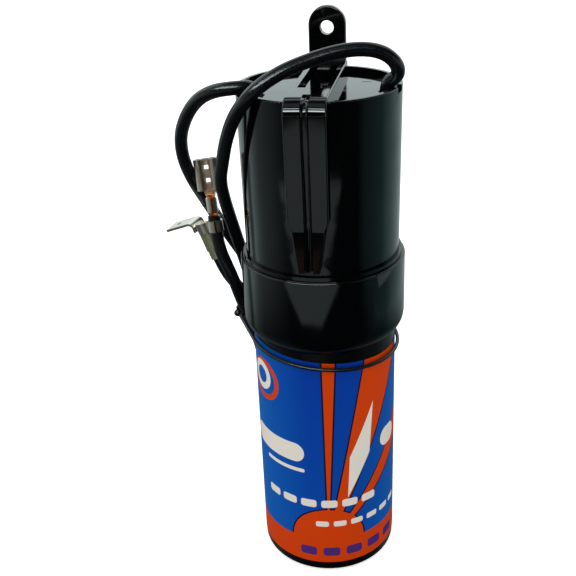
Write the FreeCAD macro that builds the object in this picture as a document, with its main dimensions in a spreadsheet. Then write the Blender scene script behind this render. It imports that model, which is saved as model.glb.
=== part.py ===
import FreeCAD, Part
import math
import os

import Sketcher
from FreeCAD import Placement, Rotation, Vector

# Hard start kit: a round start capacitor with a solid-state start relay in a moulded
# housing on top of it, a screw tab above the housing, and two leads tied to its side.
# Z is the axis of the can, Z = 0 is its base, and the strap and the tab lie over X = 0.

SIZES = {
    # capacitor case, a moulded cup
    "case_radius": 22.85, "case_height": 107.0, "case_wall": 1.5, "case_floor": 2.0,
    "case_corner": 1.8,
    # printed label, wrapped a little askew
    "label_thick": 0.15, "label_low": 4.0, "label_gap": 3.2, "label_skew": 4.5,
    # winding inside the case
    "winding_gap": 0.6, "winding_head": 9.0, "core_radius": 4.0, "core_wall": 1.2,
    "core_stand": 2.0, "foil_width": 4.0, "foil_thick": 0.3, "foil_reach": 5.0,
    # cover of the case, with its seal, vent and terminals
    "cover_depth": 10.0, "cover_thick": 2.5, "seal_height": 1.6, "seal_width": 1.5,
    "vent_radius": 2.5, "vent_offset": 10.5, "vent_height": 2.0,
    "post_spacing": 16.0, "post_radius": 1.6, "post_head": 2.6, "post_head_thick": 0.9,
    "fit_gap": 0.1, "blade_thick": 0.8, "blade_width": 6.35, "blade_height": 6.4,
    "foot_length": 10.8, "foot_width": 7.0,
    "resistor_radius": 2.0, "resistor_length": 9.0, "resistor_offset": 10.5,
    "resistor_wire": 0.4,
    # collar that joins the housing to the can
    "collar_wall": 2.8, "collar_foot": 0.35, "collar_skirt": 20.6, "collar_rise": 5.2,
    "shoulder_thick": 1.6, "shoulder_width": 3.2, "socket_depth": 2.6,
    "lip_wall": 0.85, "lip_height": 1.4, "collar_edge": 0.5,
    # moulded relay housing
    "housing_step": 0.95, "housing_draft": 0.46, "housing_wall": 1.8, "housing_height": 55.0,
    "rim_wall": 1.5, "rim_depth": 1.7, "disc_thick": 2.0, "rim_edge": 0.4,
    # strap over the top and down the front, with its screw tab
    "strap_half": 5.9, "strap_waist": 4.9, "strap_knee": 3.6, "strap_tip": 3.1,
    "strap_rise": 1.6, "strap_stand": 5.2, "strap_bend": 4.5, "strap_gap": 3.2,
    "strap_draft": 1.4, "ramp_height": 12.2, "ramp_stand": 1.2, "knee_height": 3.7,
    "taper_height": 2.8, "strap_edge": 0.5, "groove_radius": 1.3, "groove_depth": 0.8,
    "groove_run": 3.0, "slot_inner": 1.8, "slot_width": 2.3, "slot_front": 13.6,
    "slot_back": 15.5, "slot_depth": 2.4, "slit_width": 0.6, "slit_depth": 1.0,
    "slit_near": 0.52, "slit_far": 0.8, "slit_run": 0.115, "slit_side": 0.345,
    "tab_half": 5.7, "tab_thick": 3.0, "tab_inset": 1.0, "tab_height": 16.8,
    "tab_edge": 0.5, "tab_hole": 2.1, "tab_hole_height": 10.4, "tab_fillet": 2.5,
    # leads and their ways out of the housing
    "lead_radius": 2.0, "exit_gap": 0.2, "exit_left": 4.25, "exit_right": 2.75,
    "turn_left": 208.2, "turn_right": 348.9,
    # relay parts inside the housing
    "carrier_height": 12.4, "carrier_thick": 2.2, "carrier_wall": 0.9, "carrier_gap": 0.15,
    "tray_long": 27.0, "tray_wide": 15.0, "tray_height": 17.0, "tray_wall": 1.5,
    "pill_radius": 7.5, "pill_thick": 3.2, "spring_offset": 5.0, "spring_rise": 7.8,
    "lid_thick": 1.8, "connector_long": 7.6, "connector_wide": 2.4, "connector_high": 6.6,
    "barrel_length": 3.4, "pass_x": 10.0, "pass_gap": 1.1, "blade_gap": 0.6,
    "cap_thick": 0.5, "lid_gap": 0.2, "wire_run": 9.0, "wire_step": 5.7, "wire_bow": 0.35,
    # lead terminals
    "crimp_wall": 0.45, "strand_radius": 1.3, "grip_length": 3.6, "bare_end": 5.0,
    "wire_grip_low": 6.4, "wire_grip_length": 4.6, "strand_end": 12.4, "neck_low": 10.6,
    "spine_gap": 0.05,
    "box_low": 13.4, "box_length": 9.9, "box_width": 7.6, "roll_radius": 1.45,
    "roll_gap": 0.9, "window": 1.3, "window_pitch": 4.2, "crimp_slit": 0.6,
    "male_low": 12.1, "male_length": 9.0, "male_hole": 0.75, "male_bend": 93.2, "male_inner": 1.2,
    # tie round the can and the leads
    "tie_radius": 0.6, "tie_gap": 0.35, "tie_drop": 4.8, "tie_tilt": 5.0,
    "tie_head": 1.0, "tie_head_length": 2.6,
}

doc = FreeCAD.newDocument("hard_start_kit")
sheet = doc.addObject("Spreadsheet::Sheet", "Sizes")
for row, (alias, value) in enumerate(SIZES.items(), start=1):
    sheet.set("A%d" % row, alias)
    sheet.set("B%d" % row, repr(value))
    sheet.setAlias("B%d" % row, alias)
doc.recompute()

# Levels and radii that follow from the sizes, written once as expressions
DERIVED = {
    "wall_in": "(case_radius - case_wall)",
    "label_out": "(case_radius + label_thick)",
    "cover_low": "(case_height - cover_depth)",
    "cover_top": "(case_height - cover_depth + cover_thick)",
    "collar_low": "(case_height - collar_skirt)",
    "label_high": "(case_height - collar_skirt - label_gap)",
    "tie_height": "(case_height - collar_skirt - tie_drop)",
    "bore": "(case_radius + fit_gap)",
    "collar_out": "(case_radius + fit_gap + collar_wall)",
    "shoulder_top": "(case_height + shoulder_thick)",
    "foot_out": "(case_radius + housing_step)",
    "head_out": "(case_radius + housing_step + housing_draft)",
    "rim_in": "(case_radius + housing_step + housing_draft - rim_wall)",
    "lip_in": "(case_radius + housing_step + fit_gap)",
    "lip_top": "(case_height + shoulder_thick + socket_depth + lip_height)",
    "rim_top": "(case_height + shoulder_thick + housing_height)",
    "disc_top": "(case_height + shoulder_thick + housing_height - rim_depth)",
    "strap_top": "(case_height + shoulder_thick + housing_height + strap_rise)",
    "strap_out": "(case_radius + housing_step + strap_stand)",
    "strap_low": "(case_height + shoulder_thick + socket_depth + lip_height + strap_gap)",
    "winding_top": "(case_height - cover_depth - winding_head)",
    "pass_y": "(tray_wide / 2 + lead_radius + pass_gap)",
    "left_reach": "(case_radius - exit_left)",
    "right_reach": "(case_radius - exit_right)",
    "tab_back": "(case_radius + housing_step + housing_draft - tab_inset)",
    "carrier_top": "(case_height + shoulder_thick + carrier_height + carrier_thick)",
    "tray_floor": "(case_height + shoulder_thick + carrier_height + carrier_thick + tray_wall)",
    "tray_top": "(case_height + shoulder_thick + carrier_height + carrier_thick + tray_height)",
    "grip_out": "(lead_radius + crimp_wall)",
    "blade_y": "(foot_length / 2 - blade_thick / 2)",
}


def cells(text):
    """Expression with every derived name spelled out and every alias led by the sheet."""
    out, word = "", ""
    for mark in text + " ":
        if mark.isalnum() or mark == "_":
            word += mark
            continue
        if word in DERIVED:
            out += cells(DERIVED[word])
        else:
            out += "Sizes." + word if word in SIZES else word
        out += mark
        word = ""
    return out.strip()


def size(text):
    """Value of an alias or of an expression in aliases."""
    return float(sheet.evalExpression(cells(text)))


def bind(thing, **sizes):
    for prop, text in sizes.items():
        thing.setExpression(prop.replace("__", "."), cells(text))
    return thing


def end_at(sketch, geo, spot):
    """Which end of a sketch edge lies at a spot: 1 is its start and 2 its end."""
    return 1 if (sketch.getPoint(geo, 1) - spot).Length < (sketch.getPoint(geo, 2) - spot).Length else 2


def hold(sketch, geo, pos, texts):
    """Hold both coordinates of a sketch point at the values of two expressions."""
    for kind, axis, text in (("DistanceX", -2, texts[0]), ("DistanceY", -1, texts[1])):
        now = size(text)
        if abs(now) < 1e-9:
            sketch.addConstraint(Sketcher.Constraint("PointOnObject", geo, pos, axis))
            continue
        index = sketch.addConstraint(Sketcher.Constraint(kind, -1, 1, geo, pos, now))
        sketch.setExpression("Constraints[%d]" % index, cells(text))


def draw(sketch, corners):
    """Closed outline through (x, y) corners. A corner (x, y, radius, side) starts an arc
    of that radius, which bulges to the left (1) or the right (-1) of the way it goes."""
    spots = [Vector(size(c[0]), size(c[1]), 0) for c in corners]
    count = len(corners)
    for i, corner in enumerate(corners):
        a, b = spots[i], spots[(i + 1) % count]
        if len(corner) == 2:
            sketch.addGeometry(Part.LineSegment(a, b), False)
            continue
        radius = size(corner[2])
        half = (b - a).Length / 2
        left = Vector(a.y - b.y, b.x - a.x, 0).normalize()
        bulge = radius - math.sqrt(radius * radius - half * half)
        sketch.addGeometry(Part.Arc(a, (a + b) * 0.5 + left * corner[3] * bulge, b), False)
    for i, corner in enumerate(corners):
        here = end_at(sketch, i, spots[i])
        last = (i - 1) % count
        sketch.addConstraint(
            Sketcher.Constraint("Coincident", last, end_at(sketch, last, spots[i]), i, here))
        hold(sketch, i, here, corner[:2])
        if len(corner) > 2:
            index = sketch.addConstraint(Sketcher.Constraint("Radius", i, size(corner[2])))
            sketch.setExpression("Constraints[%d]" % index, cells(corner[2]))


def outline(body, role, corners):
    sketch = body.newObject("Sketcher::SketchObject", body.Name + "_outline")
    plane = [item for item in body.Origin.OriginFeatures if item.Role == role][0]
    sketch.AttachmentSupport = [(plane, "")]
    sketch.MapMode = "FlatFace"
    draw(sketch, corners)
    return sketch


def soften(body, picked, text):
    """Round the edges of a body's last feature that the test picks."""
    tip = body.Tip
    names = ["Edge%d" % i for i, edge in enumerate(tip.Shape.Edges, start=1) if picked(edge)]
    soft = body.newObject("PartDesign::Fillet", body.Name + "_round")
    soft.Base = (tip, names)
    bind(soft, Radius=text)
    doc.recompute()
    return body


def ring_edge(radius, height):
    """Test for the circle of that radius at that height."""
    radius, height = size(radius), size(height)

    def picked(edge):
        curve = edge.Curve
        return (isinstance(curve, Part.Circle) and abs(curve.Radius - radius) < 1e-3
                and abs(curve.Center.z - height) < 1e-3)
    return picked


def turned(name, corners):
    """Body turned round Z from an outline in (radius, height)."""
    body = doc.addObject("PartDesign::Body", name)
    sketch = outline(body, "XZ_Plane", corners)
    turn = body.newObject("PartDesign::Revolution", name + "_turn")
    turn.Profile = sketch
    turn.ReferenceAxis = (sketch, ["V_Axis"])
    turn.Angle = 360.0
    doc.recompute()
    return body


def tube(name, inner, outer, low, high):
    return turned(name, [(inner, low), (outer, low), (outer, high), (inner, high)])


def strip(name, role, corners, length):
    """Body made by lengthening an outline both ways from one of its origin planes."""
    body = doc.addObject("PartDesign::Body", name)
    sketch = outline(body, role, corners)
    pad = body.newObject("PartDesign::Pad", name + "_pad")
    pad.Profile = sketch
    pad.Midplane = True
    bind(pad, Length=length)
    doc.recompute()
    return body


def block(name, x, y, z, long_x, long_y, long_z):
    box = doc.addObject("Part::Box", name)
    return bind(box, Length=long_x, Width=long_y, Height=long_z,
                Placement__Base__x=x, Placement__Base__y=y, Placement__Base__z=z)


def rod(name, radius, low, height, x="0", y="0", along=None):
    bar = doc.addObject("Part::Cylinder", name)
    if along is not None:
        bar.Placement = Placement(Vector(0, 0, 0), Rotation(Vector(0, 0, 1), Vector(*along)))
    return bind(bar, Radius=radius, Height=height, Placement__Base__x=x,
                Placement__Base__y=y, Placement__Base__z=low)


def cut(name, base, tool):
    out = doc.addObject("Part::Cut", name)
    out.Base, out.Tool = base, tool
    return out


def common(name, base, tool):
    out = doc.addObject("Part::Common", name)
    out.Base, out.Tool = base, tool
    return out


def fuse(name, *shapes):
    out = doc.addObject("Part::MultiFuse", name)
    out.Shapes = list(shapes)
    return out


def group(name, *shapes):
    out = doc.addObject("Part::Compound", name)
    out.Links = list(shapes)
    return out


def across(name, thing):
    """The same piece on the other side of X = 0."""
    out = doc.addObject("Part::Mirroring", name)
    out.Source = thing
    out.Normal = Vector(1, 0, 0)
    return out


def half_turn(name, thing):
    """The same piece turned half round Z."""
    out = doc.addObject("Part::Compound", name)
    out.Links = [thing]
    out.Placement = Placement(Vector(0, 0, 0), Rotation(Vector(0, 0, 1), 180))
    return out


pieces = {}


def piece(label, thing):
    """Give a finished object the label that names its file."""
    thing.Label = label
    pieces[label] = thing
    return thing


def stand(thing, spot, along, facing):
    """Stand a piece at a spot with its Z along one direction and its Y towards another."""
    up = Vector(*along).normalize()
    front = Vector(*facing)
    front = (front - up * front.dot(up)).normalize()
    thing.Placement = Placement(Vector(*spot), Rotation(front.cross(up), front, up, "ZYX"))
    return thing


# Capacitor: a moulded cup that holds a wound roll

def make_case():
    cup = turned("case_cup", [
        ("0", "0"), ("case_radius", "0"), ("case_radius", "case_height"),
        ("wall_in", "case_height"), ("wall_in", "case_floor"), ("0", "case_floor"),
    ])
    piece("capacitor_case", soften(cup, ring_edge("case_radius", "0"), "case_corner"))

    # the label's upper edge runs a little downhill towards +X
    wrap = tube("label_tube", "case_radius", "label_out", "label_low", "label_high + 4")
    trim = block("label_trim", "-case_radius * 2", "-case_radius * 2",
                 "label_high + case_radius * 2 * tan(label_skew)",
                 "case_radius * 4", "case_radius * 4", "case_radius")
    trim.Placement = Placement(trim.Placement.Base, Rotation(Vector(0, 1, 0), size("label_skew")))
    bind(trim, Placement__Rotation__Angle="label_skew")
    piece("label_wrap", cut("label_cut", wrap, trim))

    piece("foil_winding", tube("winding_roll", "core_radius", "wall_in - winding_gap",
                               "case_floor", "winding_top"))
    piece("winding_core", tube("winding_tube", "core_radius - core_wall", "core_radius",
                               "case_floor", "winding_top + core_stand"))


# Cover of the case: a disc with two riveted terminals, a vent and a discharge resistor

def post_hole(name, x):
    return rod(name, "post_radius + fit_gap", "cover_low - case_floor", "case_height", x)


def make_cover():
    right, left = "post_spacing / 2", "-post_spacing / 2"
    disc = rod("cover_blank", "wall_in", "cover_low", "cover_thick")
    holes = group("cover_holes", post_hole("cover_hole_right", right),
                  post_hole("cover_hole_left", left),
                  rod("cover_vent_hole", "vent_radius", "cover_low - 1", "cover_thick + 2",
                      "0", "vent_offset"))
    piece("case_cover", cut("cover_cut", disc, holes))
    piece("cover_seal", tube("seal_ring", "wall_in - seal_width", "wall_in",
                             "cover_top", "cover_top + seal_height"))
    vent = turned("vent_turned", [
        ("0", "cover_low - vent_height / 2"), ("vent_radius", "cover_low - vent_height / 2"),
        ("vent_radius", "cover_top"), ("vent_radius * 1.3", "cover_top"),
        ("vent_radius * 1.3", "cover_top + vent_height / 2"), ("0", "cover_top + vent_height / 2"),
    ])
    bind(vent, Placement__Base__y="vent_offset")
    piece("vent_plug", vent)

    # rivets squeeze the foil tab, the cover and the terminal's foot together
    under = "cover_low - foil_thick"
    over = "cover_top + blade_thick"
    rivet = turned("rivet_turned", [
        ("0", under + " - post_head_thick"), ("post_head", under + " - post_head_thick"),
        ("post_head", under), ("post_radius", under), ("post_radius", over),
        ("post_head", over), ("post_head", over + " + post_head_thick"),
        ("0", over + " + post_head_thick"),
    ])
    bind(rivet, Placement__Base__x=right)
    piece("terminal_rivets", group("rivet_pair", rivet, across("rivet_left", rivet)))

    foot = block("blade_foot", "post_spacing / 2 - foot_width / 2", "-foot_length / 2", "cover_top",
                 "foot_width", "foot_length", "blade_thick")
    front = block("blade_front", "post_spacing / 2 - blade_width / 2", "-foot_length / 2", "cover_top",
                  "blade_width", "blade_thick", "blade_height + blade_thick")
    back = block("blade_back", "post_spacing / 2 - blade_width / 2", "foot_length / 2 - blade_thick",
                 "cover_top", "blade_width", "blade_thick", "blade_height + blade_thick")
    blades = cut("blades_cut", fuse("blades_blank", foot, front, back),
                 post_hole("blade_hole", right))
    piece("right_blades", blades)
    piece("left_blades", across("blades_left", blades))

    # foil tabs climb from the winding to the rivets
    top = "winding_top"
    bent = strip("foil_bent", "XZ_Plane", [
        ("post_spacing / 2 + foil_reach", top), ("post_spacing / 2 + foil_reach + foil_thick", top),
        ("post_spacing / 2 + foil_reach + foil_thick", "cover_low"),
        ("post_spacing / 2 - foil_width / 2", "cover_low"),
        ("post_spacing / 2 - foil_width / 2", under), ("post_spacing / 2 + foil_reach", under),
    ], "foil_width")
    tab = cut("foil_cut", bent, post_hole("foil_hole", right))
    piece("foil_tabs", group("foil_pair", tab, across("foil_left", tab)))

    height = "cover_top + resistor_radius"
    body = rod("resistor_body", "resistor_radius", height, "resistor_length",
               "-resistor_length / 2", "-resistor_offset", along=(1, 0, 0))
    piece("bleed_resistor", body)
    wire = doc.addObject("Part::Feature", "resistor_wire_right")
    wire.Shape = swept([
        (size("resistor_length / 2"), -size("resistor_offset"), size(height)),
        (size("post_spacing / 2"), -size("resistor_offset"), size(height)),
        (size("post_spacing / 2"), -size("resistor_offset - resistor_wire * 6"),
         size("cover_top + blade_thick")),
        (size("post_spacing / 2"), -size("foot_length / 2"), size("cover_top + blade_thick")),
    ], size("resistor_wire"))
    piece("resistor_wires", group("resistor_wire_pair", wire, across("resistor_wire_left", wire)))


# Swept pieces: straight runs joined by tangent arcs

def path_of(points):
    """Wire of straight runs and tangent arcs, each arc as large as its two runs allow."""
    points = [Vector(*point) for point in points]
    edges, start, radii = [], points[0], []
    for i in range(1, len(points) - 1):
        back = (points[i - 1] - points[i])
        ahead = (points[i + 1] - points[i])
        room = 0.45 * min(back.Length, ahead.Length)
        back.normalize()
        ahead.normalize()
        half = (math.pi - back.getAngle(ahead)) / 2
        radius = room / math.tan(half)
        radii.append(radius)
        enter, leave = points[i] + back * room, points[i] + ahead * room
        middle = points[i] + (back + ahead).normalize() * radius * (1 / math.cos(half) - 1)
        edges.append(Part.LineSegment(start, enter).toShape())
        edges.append(Part.Arc(enter, middle, leave).toShape())
        start = leave
    edges.append(Part.LineSegment(start, points[-1]).toShape())
    return Part.Wire(edges), radii


def swept(points, radius):
    path, _ = path_of(points)
    return pipe(path, radius)


def pipe(path, radius):
    """Round bar of one radius along a wire."""
    first = path.OrderedEdges[0]
    spot = first.valueAt(first.FirstParameter)
    along = first.tangentAt(first.FirstParameter)
    ring = Part.Wire([Part.Circle(spot, along, radius).toShape()])
    return path.makePipeShell([ring], True, False)


# Collar: grips the can below and holds the housing's foot above

def make_collar():
    foot = "bore + collar_foot"
    wide = "(collar_wall - collar_foot)"
    ring = turned("collar_turned", [
        ("bore", "collar_low"),
        (foot, "collar_low", "(%s^2 + collar_rise^2) / (2 * %s)" % (wide, wide), -1),
        ("collar_out", "collar_low + collar_rise"),
        ("collar_out", "shoulder_top + socket_depth"),
        ("lip_in + lip_wall", "shoulder_top + socket_depth"), ("lip_in + lip_wall", "lip_top"),
        ("lip_in", "lip_top"), ("lip_in", "shoulder_top"),
        ("lip_in - shoulder_width", "shoulder_top"), ("lip_in - shoulder_width", "case_height"),
        ("bore", "case_height"),
    ])
    piece("collar_ring", soften(ring, ring_edge("collar_out", "shoulder_top + socket_depth"),
                                "collar_edge"))


# Relay housing: an inverted cup with a sunk disc, a strap and a screw tab in one moulding

def make_housing():
    inner = "(foot_out - housing_wall)"
    cup = turned("housing_cup", [
        (inner, "shoulder_top"), ("foot_out", "shoulder_top"), ("head_out", "rim_top"),
        ("rim_in", "rim_top"), ("rim_in", "disc_top"),
        ("0", "disc_top"), ("0", "disc_top - disc_thick"),
        (inner + " + housing_draft", "disc_top - disc_thick"),
    ])
    soften(cup, ring_edge("head_out", "rim_top"), "rim_edge")
    # strap, tab and exits are worked on this cup
    whole = fuse("housing_joined", cup, make_strap(), make_tab())
    tools = group("housing_tools", make_slots(), make_exit("left"), make_exit("right"), make_slits())
    piece("relay_housing", cut("housing_cut", whole, tools))


def make_strap():
    """Strap: a side outline and a front outline that cross, with soft edges and a groove."""
    skin, deck = "(foot_out - housing_wall / 2)", "(disc_top - disc_thick / 2)"
    waist, end = "(strap_out - strap_draft)", "(strap_out - strap_draft + ramp_stand)"
    low, bend = "strap_low", "(strap_top - strap_bend)"
    side = strip("strap_side", "YZ_Plane", [
        ("-" + end, low), ("-" + waist, low + " + ramp_height"), ("-strap_out", bend, "strap_bend", 1),
        ("strap_bend - strap_out", "strap_top"), ("tab_back", "strap_top"), ("tab_back", deck),
        ("-" + skin, deck), ("-" + skin, low),
    ], "case_radius * 2")
    half = [("strap_tip", low), ("strap_knee", low + " + knee_height"),
            ("strap_waist", low + " + ramp_height"),
            ("strap_half", low + " + ramp_height + taper_height"), ("strap_half", "strap_top + 1")]
    front = strip("strap_front", "XZ_Plane",
                  half + [("-" + x, z) for x, z in reversed(half)], "case_radius * 4")
    crossed = common("strap_crossed", side, front)
    doc.recompute()
    soft = doc.addObject("Part::Fillet", "strap_soft")
    soft.Base = crossed
    edge = size("strap_edge")
    soft.Edges = [(i, edge, edge) for i, line in enumerate(crossed.Shape.Edges, start=1)
                  if outside_edge(line)]
    groove = doc.addObject("Part::Feature", "strap_groove")
    groove.Shape = groove_tool([size(text) for text in (end, waist, "strap_out")])
    return cut("strap_grooved", soft, groove)


def outside_edge(line):
    """Test for the long edges of the strap that a hand would feel."""
    box = line.BoundBox
    wall = size("foot_out - housing_wall / 2 + 0.1")
    along = abs(box.XMin) > size("strap_tip") - 0.01 and box.XMin * box.XMax > 0
    outer = box.YMax < -wall or box.ZMin > size("strap_top") - 0.01
    return along and outer and (box.ZLength > 0.1 or box.YLength > size("case_radius"))


def groove_tool(outs):
    """Round bar that follows the strap's front a little outside it."""
    off = size("groove_radius - groove_depth")
    end, waist, face = [-(out + off) for out in outs]
    low, bend = size("strap_low"), size("strap_bend")
    ramp, top = size("strap_low + ramp_height"), size("strap_top")
    over = bend + off
    centre = Vector(0, face + over, top - bend)
    spots = [Vector(0, end, low - 1), Vector(0, waist, ramp), Vector(0, face, top - bend),
             Vector(0, face + over, top + off), Vector(0, face + over + size("groove_run"), top + off)]
    middle = centre + Vector(0, -math.sqrt(0.5), math.sqrt(0.5)) * over
    edges = [Part.LineSegment(spots[0], spots[1]).toShape(),
             Part.LineSegment(spots[1], spots[2]).toShape(),
             Part.Arc(spots[2], middle, spots[3]).toShape(),
             Part.LineSegment(spots[3], spots[4]).toShape()]
    return pipe(Part.Wire(edges), size("groove_radius"))


def make_tab():
    """Screw tab: a plate with a round end and a hole, and a hollow fillet at its foot."""
    centre = "strap_top + tab_height - tab_half"
    body = doc.addObject("PartDesign::Body", "tab_plate")
    sketch = outline(body, "XZ_Plane", [
        ("-tab_half", "disc_top"), ("tab_half", "disc_top"),
        ("tab_half", centre, "tab_half * 1.0000001", -1), ("-tab_half", centre),
    ])
    index = sketch.addGeometry(Part.Circle(Vector(0, size("strap_top + tab_hole_height"), 0),
                                           Vector(0, 0, 1), size("tab_hole")), False)
    hold(sketch, index, 3, ("0", "strap_top + tab_hole_height"))
    radius = sketch.addConstraint(Sketcher.Constraint("Radius", index, size("tab_hole")))
    sketch.setExpression("Constraints[%d]" % radius, cells("tab_hole"))
    pad = body.newObject("PartDesign::Pad", "tab_pad")
    pad.Profile = sketch
    bind(pad, Length="tab_thick")
    doc.recompute()
    top = size(centre)

    def outer_edge(edge):
        box = edge.BoundBox
        flat = box.YLength < 1e-6
        return flat and box.ZMax > top - 1 and (box.XLength > size("tab_half") or box.XLength < 1e-6)
    soften(body, outer_edge, "tab_edge")
    bind(body, Placement__Base__y="tab_back")
    foot = strip("tab_foot", "YZ_Plane", [
        ("tab_back - tab_thick", "strap_top"),
        ("tab_back - tab_thick", "strap_top + tab_fillet", "tab_fillet", 1),
        ("tab_back - tab_thick - tab_fillet", "strap_top"),
    ], "tab_half * 2")
    return fuse("tab_joined", body, foot)


def make_slots():
    """Two long core slots in the strap, one each side of its middle web."""
    slot = block("slot_right", "slot_inner", "-slot_front", "strap_top - slot_depth",
                 "slot_width", "slot_front + slot_back", "slot_depth + 1")
    return group("slot_pair", slot, across("slot_left", slot))


def make_slits():
    """Two thin slits in a line across the disc, placed by shares of the disc's radius."""
    return group("disc_slits", *[
        block(share + "_cut", "rim_in * " + share, "rim_in * slit_side", "disc_top - slit_depth",
              "rim_in * slit_run", "slit_width", "slit_depth + 1")
        for share in ("slit_near", "slit_far")])


def make_exit(side):
    """Way out for a lead: a hole through the disc and a notch through the rim."""
    wide = "(lead_radius + exit_gap)"
    away = side + "_reach"
    hole = rod(side + "_exit_hole", wide, "disc_top - disc_thick - 1", "disc_thick + 8", away)
    notch = block(side + "_exit_notch", away, "-" + wide, "disc_top", "case_radius", wide + " * 2",
                  "rim_depth + strap_rise + 1")
    tool = fuse(side + "_exit_tool", hole, notch)
    tool.Placement = Placement(Vector(0, 0, 0), Rotation(Vector(0, 0, 1), size("turn_" + side)))
    bind(tool, Placement__Rotation__Angle="turn_" + side)
    return tool


# Relay: a ceramic pill between two leaf springs in a lidded tray on a carrier

def make_relay():
    outer = "foot_out - housing_wall - carrier_gap"
    disc_low = "shoulder_top + carrier_height"
    carrier = turned("carrier_turned", [
        (outer + " - carrier_wall", "shoulder_top"), (outer, "shoulder_top"),
        (outer, "carrier_top"), ("0", "carrier_top"), ("0", disc_low),
        (outer + " - carrier_wall", disc_low),
    ])
    hole = rod("carrier_hole", "lead_radius + exit_gap", disc_low + " - 1", "carrier_thick + 2",
               "pass_x", "-pass_y")
    piece("relay_carrier", cut("carrier_cut", carrier,
                               group("carrier_holes", hole, half_turn("carrier_hole_back", hole))))

    box = block("tray_blank", "-tray_long / 2", "-tray_wide / 2", "carrier_top",
                "tray_long", "tray_wide", "tray_height")
    hollow = block("tray_hollow", "-tray_long / 2 + tray_wall", "-tray_wide / 2 + tray_wall",
                   "tray_floor", "tray_long - tray_wall * 2", "tray_wide - tray_wall * 2",
                   "tray_height")
    piece("relay_tray", cut("tray_cut", box, hollow))

    piece("ptc_pill", rod("pill_disc", "pill_radius", "tray_floor + pill_radius + fit_gap",
                          "pill_thick", "0", "-pill_thick / 2", along=(0, 1, 0)))

    # a spring stands on the tray's floor, bows to the pill and ends above the lid as a blade
    middle = "(tray_floor + pill_radius)"
    far, near = "spring_offset", "(pill_thick / 2)"
    leaf = strip("spring_leaf", "YZ_Plane", [
        (far, "tray_floor"), (far + " + blade_thick", "tray_floor"),
        (near + " + blade_thick", middle + " - 1"), (near + " + blade_thick", middle + " + 1"),
        (far + " + blade_thick", "tray_top - 1.5"), (far + " + blade_thick", "tray_top + spring_rise"),
        (far, "tray_top + spring_rise"), (far, "tray_top - 1.5"), (near, middle + " + 1"),
        (near, middle + " - 1"),
    ], "blade_width")
    piece("back_spring", leaf)
    piece("front_spring", half_turn("spring_front", leaf))

    lid = block("lid_blank", "-tray_long / 2", "-tray_wide / 2", "tray_top",
                "tray_long", "tray_wide", "lid_thick")
    slit = block("lid_slit", "-blade_width / 2 - fit_gap", far + " - fit_gap", "tray_top - 1",
                 "blade_width + fit_gap * 2", "blade_thick + fit_gap * 2", "lid_thick + 2")
    piece("relay_lid", cut("lid_cut", lid, group("lid_slits", slit, half_turn("lid_slit_front", slit))))


def connector(name, x, y, low, upright):
    """Push-on connector over an upright blade, with its wire barrel above it or beside it."""
    sleeve = block(name + "_sleeve", x + " - connector_long / 2",
                   y + " - connector_wide / 2", low, "connector_long", "connector_wide",
                   "connector_high")
    bore = block(name + "_bore", x + " - blade_width / 2 - fit_gap / 2",
                 y + " - blade_thick / 2 - fit_gap / 2", low + " - 1",
                 "blade_width + fit_gap", "blade_thick + fit_gap", "connector_high + 1 - cap_thick")
    if upright:
        top = low + " + connector_high"
        barrel = rod(name + "_barrel", "grip_out", top + " - cap_thick", "barrel_length + cap_thick",
                     x, y)
        hollow = rod(name + "_hollow", "lead_radius", top, "barrel_length + 1", x, y)
    else:
        middle = low + " + connector_high / 2"
        barrel = rod(name + "_barrel", "grip_out", middle, "barrel_length + cap_thick",
                     x + " + connector_long / 2 - cap_thick", y, along=(1, 0, 0))
        hollow = rod(name + "_hollow", "lead_radius", middle, "barrel_length + 1",
                     x + " + connector_long / 2", y, along=(1, 0, 0))
    return cut(name, fuse(name + "_blank", sleeve, barrel), group(name + "_voids", bore, hollow))


def exit_spot(side):
    """Place of a lead's way out, seen from above."""
    turn, reach = math.radians(size("turn_" + side)), size(side + "_reach")
    return reach * math.cos(turn), reach * math.sin(turn)


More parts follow.
